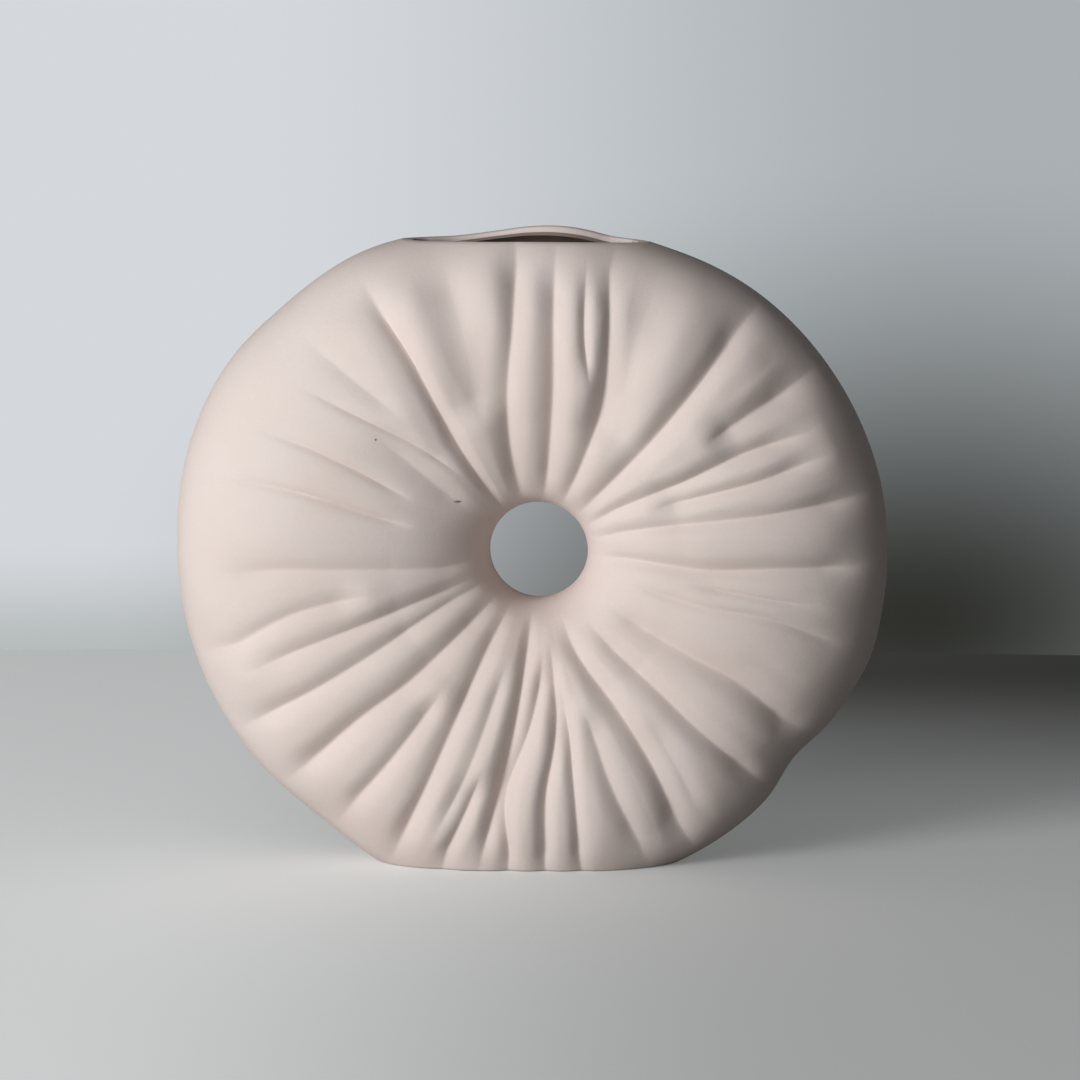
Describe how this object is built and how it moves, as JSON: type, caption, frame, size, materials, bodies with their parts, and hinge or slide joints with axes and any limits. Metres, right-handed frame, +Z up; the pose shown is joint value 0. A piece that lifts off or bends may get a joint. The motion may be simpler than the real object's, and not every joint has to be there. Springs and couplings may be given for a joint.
{
  "type": "donut vase",
  "caption": "Upright ring-shaped ceramic vase with pleats running out from its centre hole, a flat foot and a wide oval mouth along the top.",
  "frame": {"origin": "on the table, under the middle of the vase: the middle of the bounding box's bottom face", "axes": "+Z up, +X to the right as seen from the pictured face, which looks towards -Y; the hole through the vase runs along Y"},
  "size_m": [0.3016, 0.0971, 0.2693],
  "materials": {
    "matt_ceramic": "matt, unglazed, smooth",
    "bare_ceramic": "bare, rubbed flat"
  },
  "bodies": {
    "root": {"front_shell": "matt_ceramic", "back_shell": "matt_ceramic", "centre_tube": "matt_ceramic", "base_slab": "bare_ceramic"}
  },
  "joints": []
}
